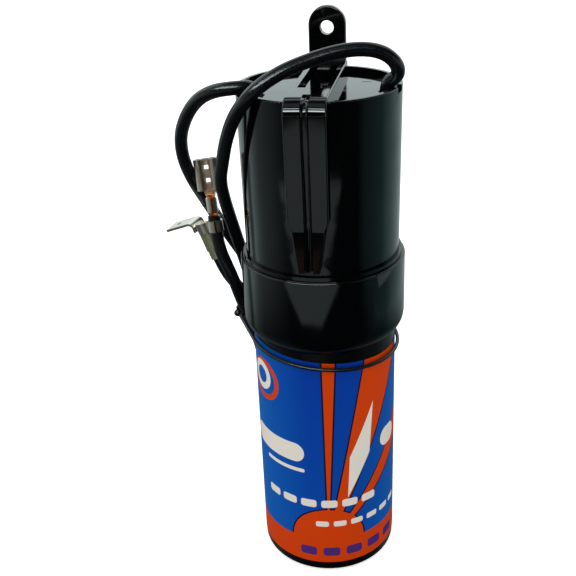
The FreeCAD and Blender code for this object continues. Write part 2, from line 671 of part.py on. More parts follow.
def make_wiring():
    blade, spring = "blade_y", "(spring_offset + blade_thick / 2)"
    low = "cover_top + blade_thick + blade_gap"
    high = "tray_top + lid_thick + lid_gap"
    can = connector("can_connector", "post_spacing / 2", "-" + blade, low, True)
    relay = connector("relay_connector", "0", "-" + spring, high, False)
    piece("can_connectors", group("can_pair", can, half_turn("can_connector_back", can)))
    relay_back = half_turn("relay_connector_turned", relay)
    piece("relay_connectors", group("relay_pair", across("relay_connector_left", relay), relay_back))

    post, side = size("post_spacing / 2"), size(blade)
    start, over = size(low + " + connector_high"), size(high + " + connector_high / 2")
    under, roof = size("disc_top - disc_thick"), size("tray_top + lid_thick")
    deck = size("shoulder_top + carrier_height")
    away, along = size("pass_x"), size("pass_y")
    near, depth = size("connector_long / 2"), size(spring)
    radius, step, run = size("lead_radius"), size("wire_step"), size("wire_run")
    rise = [(post, -side, start), (post, -side, start + step),
            (away, -along, deck - radius * 1.75), (away, -along, deck + step)]

    # right tail: from the can's right terminal past the relay to its exit
    spot = exit_spot("right")
    tail = doc.addObject("Part::Feature", "right_tail_swept")
    tail.Shape = swept(rise[:3] + [(away, -along, roof + radius), spot + (under - step,), spot + (under,)],
                       radius)
    piece("right_lead_tail", tail)

    # left tail: from the relay's front spring to its exit
    spot = exit_spot("left")
    tail = doc.addObject("Part::Feature", "left_tail_swept")
    tail.Shape = swept([(-near, -depth, over), (-near - run, -depth, over), spot + (over + step,),
                        spot + (under,)], radius)
    piece("left_lead_tail", tail)

    # jumper: from the can's left terminal, out to the wall and back to the relay's back spring
    wall = size("foot_out - housing_wall - lead_radius - wire_bow")
    bow = math.atan2(along, away + step)
    jumper = doc.addObject("Part::Feature", "jumper_swept")
    jumper.Shape = swept([(-x, -y, z) for x, y, z in rise] + [
        (-wall * math.cos(bow), wall * math.sin(bow), roof - radius * 1.5),
        (-wall * math.cos(bow) + radius * 0.3, depth + radius * 0.45, over + radius * 0.5),
        (-near - radius * 3.3, depth, over), (-near, depth, over)], radius)
    piece("jumper_wire", jumper)


# Leads: out through the rim, round the left side, folded behind the can and up again

LEFT_ROUTE = [
    (-16.39, -8.79, 159.9), (-16.39, -8.79, 164.4), (-22.8, -12.2, 164.7), (-28.6, -11.8, 163.8),
    (-33.9, -9.8, 160.9), (-38.6, -6.8, 155.2), (-42.1, -3.0, 148.0), (-43.2, 1.4, 139.7),
    (-42.6, 6.4, 131.8), (-40.3, 10.4, 124.1), (-36.5, 13.5, 114.8), (-31.7, 15.3, 105.4),
    (-27.3, 17.0, 97.0), (-22.3, 19.8, 89.5), (-15.8, 23.4, 81.5), (-8.2, 25.8, 76.0),
    (-1.5, 26.8, 69.5), (1.2, 26.9, 61.0), (-1.5, 26.8, 53.0), (-7.5, 25.8, 47.3),
    (-14.5, 22.6, 46.0), (-20.5, 17.4, 50.0), (-23.4, 13.2, 59.0), (-24.6, 10.5, 70.9),
    (-26.4, 5.5, 83.5), (-28.2, 3.0, 90.9), (-29.7, 1.6, 98.2), (-31.9, 0.9, 105.0),
    (-33.9, 1.22, 110.5), (-34.5, 1.8, 115.6),
]
RIGHT_ROUTE = [
    (19.72, -3.87, 159.9), (19.72, -3.87, 164.4), (23.2, -4.6, 166.4), (22.9, -5.5, 169.9),
    (19.2, -6.7, 173.4), (13.3, -8.4, 174.7), (6.4, -10.9, 174.3), (-1.8, -14.3, 172.3),
    (-8.7, -18.0, 169.9), (-15.3, -20.9, 165.6), (-21.2, -18.6, 158.5), (-25.3, -13.9, 149.9),
    (-28.0, -8.9, 141.9), (-30.2, -5.0, 135.2), (-30.4, -0.5, 127.0), (-29.5, 4.5, 116.4),
    (-28.1, 8.2, 105.8), (-26.8, 11.2, 96.0), (-24.6, 14.9, 87.0), (-19.9, 18.9, 79.0),
    (-13.5, 23.0, 73.5), (-8.5, 25.2, 66.5), (-9.5, 24.9, 59.5), (-14.0, 22.8, 55.2),
    (-18.8, 18.9, 57.5), (-21.5, 15.9, 64.5), (-22.9, 14.5, 72.0), (-25.2, 12.3, 79.7),
    (-27.7, 9.0, 88.2), (-30.4, 6.4, 94.8), (-33.65, 5.2, 100.3), (-35.4, 5.2, 105.3),
]
# the plain terminal leans back and faces the front, the bent one faces left
PLAIN_SPOT, PLAIN_ALONG, PLAIN_FACING = (-34.5, 1.8, 115.6), (-0.6, 0.58, 5.1), (0.25, -0.97, 0)
BENT_SPOT, BENT_ALONG, BENT_FACING = (-35.4, 5.2, 105.3), (-1.75, 0, 5.0), (-0.904, 0.282, -0.319)
# where the tie rounds the bundle of leads, from its front to its back
BUNDLE = [(-26.5, 5.3), (-26.6, 10.5), (-23.4, 16.0), (-18.9, 21.8), (-16.1, 23.4)]


def make_lead(label, route):
    lead = doc.addObject("Part::Feature", label + "_swept")
    path, radii = path_of(route)
    lead.Shape = pipe(path, size("lead_radius"))
    plain = math.pi * size("lead_radius") ** 2 * path.Length
    print("%s: length %.1f mm, volume %.1f of %.1f, arc radii %s" % (
        label, path.Length, lead.Shape.Volume, plain, " ".join("%.1f" % r for r in radii)))
    piece(label, lead)


# Terminals: each is drawn with its wire along Z, from the end of the insulation grip

def grips(name, back, top):
    """Insulation grip and wire grip, joined by a spine on the side that back gives."""
    hold_on = tube(name + "_grip", "lead_radius", "grip_out", "0", "grip_length")
    bite = tube(name + "_bite", "strand_radius", "strand_radius + crimp_wall",
                "wire_grip_low", "wire_grip_low + wire_grip_length")
    if back < 0:
        slit = block(name + "_slit", "-crimp_slit / 2", "0", "-1", "crimp_slit", "lead_radius * 2",
                     "box_low + 2")
        level = "-grip_out - spine_gap"
    else:
        slit = block(name + "_slit", "-crimp_slit / 2", "-lead_radius * 2", "-1", "crimp_slit",
                     "lead_radius * 2", "box_low + 2")
        level = "(lead_radius + spine_gap)"
    spine = block(name + "_spine", "-strand_radius", level, "grip_length - 1", "strand_radius * 2",
                  "crimp_wall", top + " - grip_length + 1")
    if back < 0:
        bridge = block(name + "_bridge", "-strand_radius", level, "wire_grip_low + 0.3",
                       "strand_radius * 2", "lead_radius - strand_radius + 0.15",
                       "wire_grip_length - 0.6")
    else:
        bridge = block(name + "_bridge", "-strand_radius", "strand_radius + crimp_wall - 0.1",
                       "wire_grip_low + 0.3", "strand_radius * 2",
                       "lead_radius - strand_radius", "wire_grip_length - 0.6")
    return cut(name + "_grips", fuse(name + "_joined", hold_on, bite, spine, bridge), slit)


def make_plain_terminal():
    """Receptacle: a flat back whose two edges are rolled over towards the front."""
    level = "(-grip_out - spine_gap)"
    half = "box_width / 2"
    plate = block("box_plate", "-%s + roll_radius" % half, level, "box_low",
                  "box_width - roll_radius * 2", "crimp_wall", "box_length")
    centre = half + " - roll_radius"
    middle = "(%s + roll_radius)" % level
    ring = cut("roll_ring", rod("roll_outer", "roll_radius", "box_low", "box_length", centre, middle),
               rod("roll_inner", "roll_radius - crimp_wall", "box_low - 1", "box_length + 2",
                   centre, middle))
    gap = block("roll_gap_cut", centre + " - roll_radius - 1", level + " + crimp_wall", "box_low - 1",
                "roll_radius + 1", "roll_gap", "box_length + 2")
    roll = cut("roll_right", ring, gap)
    neck = strip("box_neck", "XZ_Plane", [
        ("-strand_radius", "neck_low"), ("strand_radius", "neck_low"),
        (centre, "box_low + 0.4"), ("-(%s)" % centre, "box_low + 0.4"),
    ], "crimp_wall")
    bind(neck, Placement__Base__y=level + " + crimp_wall / 2")
    windows = group("box_windows", *[
        block("box_window%d" % i, "-window / 2", level + " - 1",
              "box_low + box_length / 2 - window / 2 + window_pitch * %s" % shift,
              "window", "crimp_wall + 2", "window") for i, shift in enumerate(("(-0.5)", "0.5"))])
    box = cut("box_open", fuse("box_joined", plate, roll, across("roll_left", roll), neck), windows)
    whole = fuse("plain_terminal_joined", grips("plain", -1, "box_low"), box)
    piece("plain_terminal", stand(whole, PLAIN_SPOT, PLAIN_ALONG, PLAIN_FACING))


def make_bent_terminal():
    """Blade terminal: its spine runs up into a flat blade that is bent over to the side."""
    face = "(lead_radius + spine_gap)"
    inner, wide = "male_inner", "(male_inner + blade_thick)"
    centre_y, centre_z = "(%s + blade_thick + male_inner)" % face, "male_low"
    cosine, sine = "cos(180 - male_bend)", "sin(180 - male_bend)"
    run_y, run_z = "male_length * " + sine, "male_length * " + cosine
    blade = strip("bent_blade", "YZ_Plane", [
        (face, "neck_low"), (face + " + blade_thick", "neck_low"),
        (face + " + blade_thick", centre_z, inner, 1),
        ("%s + %s * %s" % (centre_y, inner, cosine), "%s + %s * %s" % (centre_z, inner, sine)),
        ("%s + %s * %s + %s" % (centre_y, inner, cosine, run_y),
         "%s + %s * %s - %s" % (centre_z, inner, sine, run_z)),
        ("%s + %s * %s + %s" % (centre_y, wide, cosine, run_y),
         "%s + %s * %s - %s" % (centre_z, wide, sine, run_z)),
        ("%s + %s * %s" % (centre_y, wide, cosine), "%s + %s * %s" % (centre_z, wide, sine), wide, -1),
        (face, centre_z),
    ], "blade_width")
    hole = rod("bent_hole", "male_hole", "-box_length", "box_length * 4", "0",
               centre_y + " + male_length * 0.62")
    whole = fuse("bent_terminal_joined", grips("bent", 1, "male_low"), cut("bent_blade_cut", blade, hole))
    piece("bent_terminal", stand(whole, BENT_SPOT, BENT_ALONG, BENT_FACING))


def make_bare_ends():
    """The last of each insulation inside its grip, and the copper beyond it."""
    for side, spot, along, facing in (("left", PLAIN_SPOT, PLAIN_ALONG, PLAIN_FACING),
                                      ("right", BENT_SPOT, BENT_ALONG, BENT_FACING)):
        sleeve = rod(side + "_sleeve", "lead_radius", "0", "bare_end")
        piece(side + "_lead_end", stand(group(side + "_end", sleeve), spot, along, facing))
        copper = rod(side + "_copper", "strand_radius", "bare_end", "strand_end - bare_end")
        piece(side + "_strands", stand(group(side + "_bare", copper), spot, along, facing))


# Tie: a closed band round the can and the four strands of lead

def belt(circles):
    """Closed wire round circles given as (x, y, radius), by their outer tangents."""
    touch = []
    for i, (x, y, radius) in enumerate(circles):
        x2, y2, radius2 = circles[(i + 1) % len(circles)]
        heading = math.atan2(y2 - y, x2 - x)
        lean = heading + math.acos((radius - radius2) / math.hypot(x2 - x, y2 - y))
        normal = Vector(math.cos(lean), math.sin(lean), 0)
        touch.append((Vector(x, y, 0) + normal * radius, Vector(x2, y2, 0) + normal * radius2, lean))
    edges = []
    for i, (x, y, radius) in enumerate(circles):
        before, after = touch[i - 1], touch[i]
        turn = (before[2] - after[2]) % (2 * math.pi)
        middle = before[2] - turn / 2
        top = Vector(x + radius * math.cos(middle), y + radius * math.sin(middle), 0)
        edges.append(Part.Arc(before[1], top, after[0]).toShape())
        edges.append(Part.LineSegment(after[0], after[1]).toShape())
    return Part.Wire(edges)


def make_tie():
    around = size("label_out + tie_gap + tie_radius")
    strand = size("lead_radius + tie_gap + tie_radius")
    loop = belt([(0, 0, around)] + [(x, y, strand) for x, y in BUNDLE])
    band = doc.addObject("Part::Feature", "tie_swept")
    band.Shape = pipe(loop, size("tie_radius"))
    level = Placement(Vector(0, 0, size("tie_height")), Rotation(Vector(0, 1, 0), size("tie_tilt")))
    band.Placement = level
    piece("tie_band", band)
    x, y = BUNDLE[0]
    out = strand + size("tie_radius") / 2
    knot = rod("tie_knot", "tie_head", "0", "tie_head_length", along=(-1, -0.1, 0))
    bind(knot, Placement__Base__x="0 - %s" % repr(out - x), Placement__Base__y=repr(y))
    head = cut("tie_head_cut", knot, copy_at("tie_shape", band))
    head.Placement = level
    piece("tie_head", head)


def copy_at(name, thing):
    """The same shape, back at its own origin."""
    twin = doc.addObject("Part::Feature", name)
    shape = thing.Shape.copy()
    shape.Placement = Placement()
    twin.Shape = shape
    return twin


def check_and_write():
    doc.recompute()
    for thing in doc.Objects:
        if "Invalid" in thing.State or "Error" in thing.State:
            raise RuntimeError("%s is %s" % (thing.Name, thing.State))
    os.makedirs("parts", exist_ok=True)
    for label, thing in pieces.items():
        shape = thing.Shape
        if shape.isNull() or not shape.isValid() or not shape.Solids:
            raise RuntimeError("%s has no valid solid" % label)
    for label, thing in pieces.items():
        thing.Shape.exportStep("parts/%s.step" % label)
        print("%-18s %2d solid, %9.2f mm3" % (label, len(thing.Shape.Solids), thing.Shape.Volume))


make_case()
make_cover()
make_collar()
make_housing()
make_relay()
make_wiring()
make_lead("left_lead", LEFT_ROUTE)
make_lead("right_lead", RIGHT_ROUTE)
make_plain_terminal()
make_bent_terminal()
make_bare_ends()
make_tie()
check_and_write()
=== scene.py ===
# Hard start kit: smooth copies of the CAD pieces that are seen, bare strands, a tied knot, leads
# as curves, a label printed with plain shapes, and a white studio that the black plastic mirrors.

import math

import bmesh
import bpy
import numpy as np
from mathutils import Matrix, Vector


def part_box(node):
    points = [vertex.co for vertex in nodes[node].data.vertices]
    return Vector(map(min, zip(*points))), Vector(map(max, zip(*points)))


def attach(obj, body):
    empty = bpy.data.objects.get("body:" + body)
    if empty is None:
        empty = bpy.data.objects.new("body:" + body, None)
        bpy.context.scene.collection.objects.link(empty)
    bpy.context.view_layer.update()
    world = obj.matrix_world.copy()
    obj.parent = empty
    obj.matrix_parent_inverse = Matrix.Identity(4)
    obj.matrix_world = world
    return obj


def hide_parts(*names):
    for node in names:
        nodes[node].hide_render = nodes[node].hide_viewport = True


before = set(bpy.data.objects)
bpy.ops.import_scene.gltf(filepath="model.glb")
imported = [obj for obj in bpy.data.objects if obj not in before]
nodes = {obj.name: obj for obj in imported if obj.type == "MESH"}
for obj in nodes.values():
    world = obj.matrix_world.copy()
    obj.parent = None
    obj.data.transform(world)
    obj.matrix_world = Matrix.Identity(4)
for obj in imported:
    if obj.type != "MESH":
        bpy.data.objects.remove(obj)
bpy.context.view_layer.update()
mm = 0.001  # in metres, as everything in Blender


def linearOf(hexColor):
    # sRGB to linear: straight up to 0.04045, then a power of 2.4
    parts = [int(hexColor[i:i + 2], 16) / 255 for i in (1, 3, 5)]
    linear = [c / 12.92 if c < 0.04045 else ((c + 0.055) / 1.055) ** 2.4 for c in parts]
    return (*linear, 1.0)


def addNode(tree, kind, *values, inputs=None, output=0, **settings):
    # values go to the first inputs in turn and inputs to named ones, each a constant or a socket;
    # it gives one output, or the whole node where output is None
    node = tree.nodes.new("ShaderNode" + kind)
    for name, value in settings.items():
        setattr(node, name, value)
    for key, value in {**dict(enumerate(values)), **(inputs or {})}.items():
        if isinstance(value, bpy.types.NodeSocket):
            tree.links.new(value, node.inputs[key])
        else:
            node.inputs[key].default_value = value
    return node if output is None else node.outputs[output]


def newMaterial(name, hexColor, roughness, metallic=0.0, wave=None, **more):
    # wave is how wide and how deep the unevenness of the surface is, in mm
    material = bpy.data.materials.new(name)
    material.use_nodes = True
    tree = material.node_tree
    shader = tree.nodes["Principled BSDF"]
    shader.inputs["Base Color"].default_value = linearOf(hexColor)
    shader.inputs["Roughness"].default_value = roughness
    shader.inputs["Metallic"].default_value = metallic
    for key, value in more.items():
        shader.inputs[key.replace("_", " ")].default_value = value
    if wave:
        place = addNode(tree, "TexCoord", output="Object")
        noise = addNode(tree, "TexNoise", output="Fac",
                        inputs={"Vector": place, "Scale": 1 / (wave[0] * mm), "Detail": 2.0})
        bump = addNode(tree, "Bump", output="Normal",
                       inputs={"Height": noise, "Distance": wave[1] * mm, "Strength": 1.0})
        tree.links.new(bump, shader.inputs["Normal"])
    return material


# Injection moulded nylon: near black and mirror smooth, with the slow sinks of a thick wall
relayPlastic = newMaterial("injection moulded black nylon", "#030405", 0.06, wave=(9.0, 0.012))
# Phenolic, pressed in a mould: a little greyer, and its mirror is softer
casePlastic = newMaterial("moulded black phenolic", "#060708", 0.16, wave=(6.0, 0.02))
# Extruded vinyl: a bluish black with long soft highlights, faintly lumpy over the strands
vinyl = newMaterial("extruded black vinyl", "#080A0E", 0.22, wave=(2.5, 0.012))
# Brass strip, tinned and stamped: warm silver, bright on its rolled edges
tinnedBrass = newMaterial("stamped tinned brass", "#E6DFD2", 0.28, 1.0, wave=(1.2, 0.02))
# The same strip on the barrel's back, dull and without a mirror: its pale olive tint is a painted
# reflection
oliveReflectionBrass = newMaterial("brass with painted olive reflection", "#CFCDA8", 0.42, 1.0, wave=(1.0, 0.01))
# Copper, drawn and never lacquered: orange glints between the strands
copper = newMaterial("drawn copper strands", "#D07A4A", 0.3, 1.0)
# Nylon tie: black with a wide dull highlight
tieNylon = newMaterial("moulded black tie", "#070708", 0.35)


# Label, in mm: u runs round the case from the front to the right, and v is the height

labelLook = {
    # deep is the blue darkened by painted shade, and turned is the blue lightened by a painted
    # sheen
    "blue": "#0044A0", "deep": "#003094", "turned": "#0062B2", "orange": "#C83C02",
    "white": "#DCD7CC", "ink": "#0C1230", "violet": "#47286E",
    "roughness": 0.34, "specular": 0.05,
    "radius": 23.0,
    # painted shade: the blue darkens towards the top, under the collar and the tie
    "shadeTowardsTop": (20.0, 84.0, 0.0, 0.75),  # between two heights, from one share to another
    # painted sheen: the blue lightens away from a line down the front, where the film turns away to
    # either side
    "sheenAside": (8.0, 32.0, 0.0, 0.8), "sheenFrom": 5.0,  # between two distances from a line
    "bandTop": 14.2,
    "edge": 0.55,  # width of the dark outline
    "disc": (3.0, 14.0, 12.5),  # u, v, radius
    "rays": [
        [(3.0, 14.0), (18.0, 92.0), (37.0, 92.0)],
        [(3.0, 14.0), (40.0, 64.0), (40.0, 51.0)],
        [(3.0, 14.0), (2.0, 92.0), (6.5, 92.0)],
    ],
    "kite": [(9.8, 31.0), (10.6, 47.0), (19.4, 66.0), (18.0, 47.0)],
    # u, v, inner radius, outer radius
    "rings": [
        (-20.5, 71.5, 5.6, 7.4, "orange"),
        (-22.0, 72.5, 3.0, 5.2, "white"),
    ],
    # u, v, half width, half height, corner radius
    "bars": [
        (-16.5, 48.5, 12.0, 3.6, 3.5),
        (-12.5, 41.8, 8.0, 0.7, 0.6),
        (27.5, 49.0, 4.5, 3.6, 3.5),
    ],
    # from u, to u, v, pitch, half width, half height of one short bar
    "rows": [
        (-21.0, 20.9, 29.0, 7.0, 2.7, 1.5, "white"),
        (-2.0, 34.0, 20.6, 6.0, 2.2, 1.1, "white"),
        (-8.0, 40.0, 8.6, 8.0, 2.9, 1.8, "violet"),
    ],
    "rowCorner": 0.6,  # corner radius as a share of the half height
}


def printedFilm():
    # Polyester film, printed and shrunk on: deep flat colours under a weak, soft gloss
    look = labelLook
    material = newMaterial("printed polyester film", look["blue"], look["roughness"],
                           Specular_IOR_Level=look["specular"])
    tree = material.node_tree
    place = addNode(tree, "TexCoord", output="Object")
    place = addNode(tree, "SeparateXYZ", place, output=None).outputs
    toFront = addNode(tree, "Math", place["Y"], -1.0, operation="MULTIPLY")
    angle = addNode(tree, "Math", place["X"], toFront, operation="ARCTAN2")
    u = addNode(tree, "Math", angle, look["radius"], operation="MULTIPLY")
    v = addNode(tree, "Math", place["Z"], mm, operation="DIVIDE")
    onFilm = addNode(tree, "CombineXYZ", u, v)

    def both(mask, other):
        return addNode(tree, "Math", mask, other, operation="MULTIPLY")

    def inside(distance, limit=0.0):
        return addNode(tree, "Math", distance, limit, operation="LESS_THAN")

    def between(value, low, high):
        pastLow = addNode(tree, "Math", value, low, operation="GREATER_THAN")
        return both(pastLow, inside(value, high))

    def outline(corners):
        # distance to a convex outline, the greatest of those to its sides: each is how far the
        # spot lies from a corner, measured square to the side. Corners run clockwise.
        sides = []
        for (u1, v1), (u2, v2) in zip(corners, corners[1:] + corners[:1]):
            length = math.hypot(u2 - u1, v2 - v1)
            away = addNode(tree, "VectorMath", onFilm, (u1, v1, 0.0), operation="SUBTRACT")
            square = ((v1 - v2) / length, (u2 - u1) / length, 0.0)
            sides.append(addNode(tree, "VectorMath", away, square, operation="DOT_PRODUCT",
                                 output="Value"))
        greatest = sides[0]
        for side in sides[1:]:
            greatest = addNode(tree, "Math", greatest, side, operation="MAXIMUM")
        return greatest

    def fromCentre(centreU, centreV):
        return addNode(tree, "VectorMath", onFilm, (centreU, centreV, 0.0), operation="DISTANCE",
                       output="Value")

    def bar(spot, centreU, centreV, halfU, halfV, corner):
        # distance to a bar with round corners: what is left of the way from its centre when the
        # bar without its corners is taken off, less the radius of the corners
        away = addNode(tree, "VectorMath", spot, (centreU, centreV, 0.0), operation="SUBTRACT")
        away = addNode(tree, "VectorMath", away, operation="ABSOLUTE")
        away = addNode(tree, "VectorMath", away, (halfU - corner, halfV - corner, 0.0),
                       operation="SUBTRACT")
        away = addNode(tree, "VectorMath", away, (0.0, 0.0, 0.0), operation="MAXIMUM")
        left = addNode(tree, "VectorMath", away, operation="LENGTH", output="Value")
        return addNode(tree, "Math", left, corner, operation="SUBTRACT")

    def over(base, mask, colour):
        return addNode(tree, "Mix", mask, inputs={6: base, 7: linearOf(look[colour])}, output=2,
                       data_type="RGBA")

    # blue ground, darkened towards the top by painted shade and lightened by a painted sheen where
    # the film turns away to either side
    paint = over(linearOf(look["blue"]), addNode(tree, "MapRange", v, *look["shadeTowardsTop"]), "deep")
    aside = addNode(tree, "Math", u, look["sheenFrom"], operation="SUBTRACT")
    aside = addNode(tree, "Math", aside, operation="ABSOLUTE")
    paint = over(paint, addNode(tree, "MapRange", aside, *look["sheenAside"]), "turned")

    # orange band, and above it a half disc with rays, edged with a dark line
    aboveBand = addNode(tree, "Math", v, look["bandTop"], operation="GREATER_THAN")
    discU, discV, discRadius = look["disc"]
    nearest = addNode(tree, "Math", fromCentre(discU, discV), discRadius, operation="SUBTRACT")
    for corners in look["rays"]:
        nearest = addNode(tree, "Math", nearest, outline(corners), operation="MINIMUM")
    paint = over(paint, both(inside(nearest, look["edge"]), aboveBand), "ink")
    paint = over(paint, both(inside(nearest), aboveBand), "orange")
    paint = over(paint, inside(v, look["bandTop"]), "orange")

    # a kite, two rings, wide bars and rows of short bars
    paint = over(paint, inside(outline(look["kite"])), "white")
    for centreU, centreV, inner, outer, colour in look["rings"]:
        paint = over(paint, between(fromCentre(centreU, centreV), inner, outer), colour)
    for sizes in look["bars"]:
        paint = over(paint, inside(bar(onFilm, *sizes)), "white")
    for low, high, height, pitch, halfU, halfV, colour in look["rows"]:
        along = addNode(tree, "Math", u, low, operation="SUBTRACT")
        along = addNode(tree, "Math", along, pitch, 0.0, operation="WRAP")
        repeated = addNode(tree, "CombineXYZ", along, v)
        short = bar(repeated, pitch / 2, height, halfU, halfV, halfV * look["rowCorner"])
        paint = over(paint, both(inside(short), between(u, low, high)), colour)
    tree.links.new(paint, tree.nodes["Principled BSDF"].inputs["Base Color"])
    return material


labelFilm = printedFilm()
print("materials done")


# Rigid pieces that are seen: copies of the CAD nodes that shade smoothly

rigidLook = {
    "weld": 0.002,  # mm within which the loose triangles' corners are joined
    "sharpFrom": 28.0,  # degrees between two faces
    "flatWeight": 90,
    "pieces": {
        "relay_housing": relayPlastic, "collar_ring": relayPlastic, "capacitor_case": casePlastic,
        "label_wrap": labelFilm, "plain_terminal": tinnedBrass, "bent_terminal": tinnedBrass,
        "left_lead_end": vinyl, "right_lead_end": vinyl, "tie_band": tieNylon,
    },
    # where large flat faces keep their own normals beside small rounded edges
    "flatFirst": ("relay_housing", "plain_terminal", "bent_terminal"),
}


def smoothCopy(node, material):
    look = rigidLook
    shell = nodes[node].copy()
    shell.data = nodes[node].data.copy()
    shell.name = node + "_shown"
    bpy.context.scene.collection.objects.link(shell)
    mesh = bmesh.new()
    mesh.from_mesh(shell.data)
    bmesh.ops.remove_doubles(mesh, verts=mesh.verts, dist=look["weld"] * mm)
    for face in mesh.faces:
        face.smooth = True
    limit = math.radians(look["sharpFrom"])
    for edge in mesh.edges:
        edge.smooth = len(edge.link_faces) == 2 and edge.calc_face_angle() < limit
    mesh.to_mesh(shell.data)
    mesh.free()
    if node in look["flatFirst"]:
        weighted = shell.modifiers.new("weighted", "WEIGHTED_NORMAL")
        weighted.mode = "FACE_AREA"
        weighted.weight = look["flatWeight"]
        weighted.keep_sharp = True
    shell.data.materials.clear()
    shell.data.materials.append(material)
    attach(shell, "root")
    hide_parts(node)


for node, material in rigidLook["pieces"].items():
    smoothCopy(node, material)
print("rigid pieces done")


# Ends of the leads, each worked out along Z in mm and then stood on the end of its lead

terminals = {
    # foot of the terminal, way that it points, way that its spine faces
    "left": ((-34.5, 1.8, 115.6), (-0.6, 0.58, 5.1), (0.25, -0.97, 0.0)),
    "right": ((-35.4, 5.2, 105.3), (-1.75, 0.0, 5.0), (-0.904, 0.282, -0.319)),
}
strandLook = {
    "low": 5.05, "high": 12.3, "radius": 0.25,
    "rings": ((1, 0.0), (6, 0.5), (12, 1.0)),  # how many strands, and how far from the middle
    "pitch": 16.0,  # height of one full turn
    "flareFrom": 10.9, "flare": 0.12,  # the cut end spreads by this share
    "sides": 6, "steps": 26,
}
barrelLook = {
    "low": 0.1, "high": 9.2, "inner": 2.52, "outer": 2.85, "halfAngle": 62.0,
    "towards": (0.25, -0.87, 0.42), "sides": 18, "steps": 14, "sharpFrom": 40.0,
}
curlLook = {
    "low": 9.4, "high": 13.0, "inner": 2.5, "outer": 2.9, "halfAngle": 100.0,
    "towards": (0.45, -0.8, 0.42), "sides": 26, "steps": 6, "sharpFrom": 40.0,
}


def standing(points, spot, along, facing):
    # turned so that Z runs along and Y faces as near to facing as it can, then moved to the spot
    up = np.array(along) / np.linalg.norm(along)
    front = np.array(facing) - up * np.dot(facing, up)
    front /= np.linalg.norm(front)
    across = np.cross(front, up)
    turned = points[:, :1] * across + points[:, 1:2] * front + points[:, 2:] * up
    return (turned + np.array(spot)) * mm


def closedGrid(rows, columns, start=0):
    # four-sided faces between rows of points that each close on themselves, counted from start,
    # and one face over the first row and over the last
    row, column = np.meshgrid(np.arange(rows - 1), np.arange(columns), indexing="ij")
    following = (column + 1) % columns
    here, above = start + row * columns, start + (row + 1) * columns
    walls = np.stack([here + column, here + following, above + following, above + column], axis=-1)
    first = np.arange(start, start + columns)
    last = first + (rows - 1) * columns
    return walls.reshape(-1, 4).tolist() + [first[::-1].tolist(), last.tolist()]


def meshPiece(name, points, faces, material):
    mesh = bpy.data.meshes.new(name)
    mesh.from_pydata(points.tolist(), [], faces)
    mesh.shade_smooth()
    mesh.materials.append(material)
    made = bpy.data.objects.new(name, mesh)
    bpy.context.scene.collection.objects.link(made)
    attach(made, "root")
    return made


def strandBundle(side):
    # each strand is a tube round a helix: its centre stays in its ring and turns once in a pitch,
    # and the ring widens steadily above the height where the strands come free
    look = strandLook
    z = np.linspace(look["low"], look["high"], look["steps"])
    free = (z - look["flareFrom"]) / (look["high"] - look["flareFrom"])
    spread = 1 + look["flare"] * np.clip(free, 0, 1)
    phase, ring = np.array([(2 * np.pi * k / count + reach, reach)
                            for count, reach in look["rings"] for k in range(count)]).T[..., None]
    turn = phase + 2 * np.pi * z / look["pitch"]
    centres = np.stack([ring * spread * np.cos(turn), ring * spread * np.sin(turn),
                        np.broadcast_to(z, turn.shape)], axis=-1)
    around = np.linspace(0, 2 * np.pi, look["sides"], endpoint=False)
    rim = look["radius"] * np.stack([np.cos(around), np.sin(around), 0 * around], axis=-1)
    points = (centres[:, :, None] + rim).reshape(-1, 3)
    faces = [face for strand in range(len(phase)) for face in closedGrid(
        look["steps"], look["sides"], strand * look["steps"] * look["sides"])]
    bundle = meshPiece(side + "_strands_twisted", standing(points, *terminals[side]), faces,
                       copper)
    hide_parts(side + "_strands")


def openBarrel(name, look, material):
    # part of a round wall: the outer arc, then the inner one back, carried up along Z
    spot, along = terminals["right"][:2]
    sweep = np.radians(np.linspace(-look["halfAngle"], look["halfAngle"], look["sides"]))
    angles = np.concatenate([sweep, sweep[::-1]])
    radii = np.repeat([look["outer"], look["inner"]], look["sides"])
    z = np.linspace(look["low"], look["high"], look["steps"])
    shape = (len(z), len(angles))
    points = np.stack([np.broadcast_to(np.sin(angles) * radii, shape),
                       np.broadcast_to(np.cos(angles) * radii, shape),
                       np.broadcast_to(z[:, None], shape)], axis=-1).reshape(-1, 3)
    barrel = meshPiece(name, standing(points, spot, along, look["towards"]), closedGrid(*shape),
                       material)
    mesh = bmesh.new()
    mesh.from_mesh(barrel.data)
    bmesh.ops.recalc_face_normals(mesh, faces=mesh.faces)
    for edge in mesh.edges:
        edge.smooth = edge.calc_face_angle() < math.radians(look["sharpFrom"])
    mesh.to_mesh(barrel.data)
    mesh.free()


strandBundle("left")
strandBundle("right")
# the barrel's back carries the painted olive reflection
openBarrel("bent_terminal_barrel", barrelLook, oliveReflectionBrass)
openBarrel("bent_terminal_curl", curlLook, tinnedBrass)
print("terminals done")


# Knot of the tie: a round lump with a smaller one above it

knotLook = {
    # height and radius
    "profile": [(-1.2, 0.03), (-1.1, 0.48), (-0.8, 0.9), (-0.3, 1.16), (0.2, 1.18), (0.7, 0.97),
                (1.1, 0.66), (1.45, 0.52), (1.8, 0.6), (2.2, 0.75), (2.6, 0.7), (2.9, 0.45),
                (3.05, 0.03)],
    "shift": (0.65, 0.0, 0.15),  # from the middle of the CAD stub
    "along": (0.13, 0.0, 1.0), "facing": (0.0, -1.0, 0.0),
    "ridge": 0.07, "ridges": 3, "twist": 1.4,  # share of the radius, count, radians per mm
    "sides": 24, "rows": 40,
}


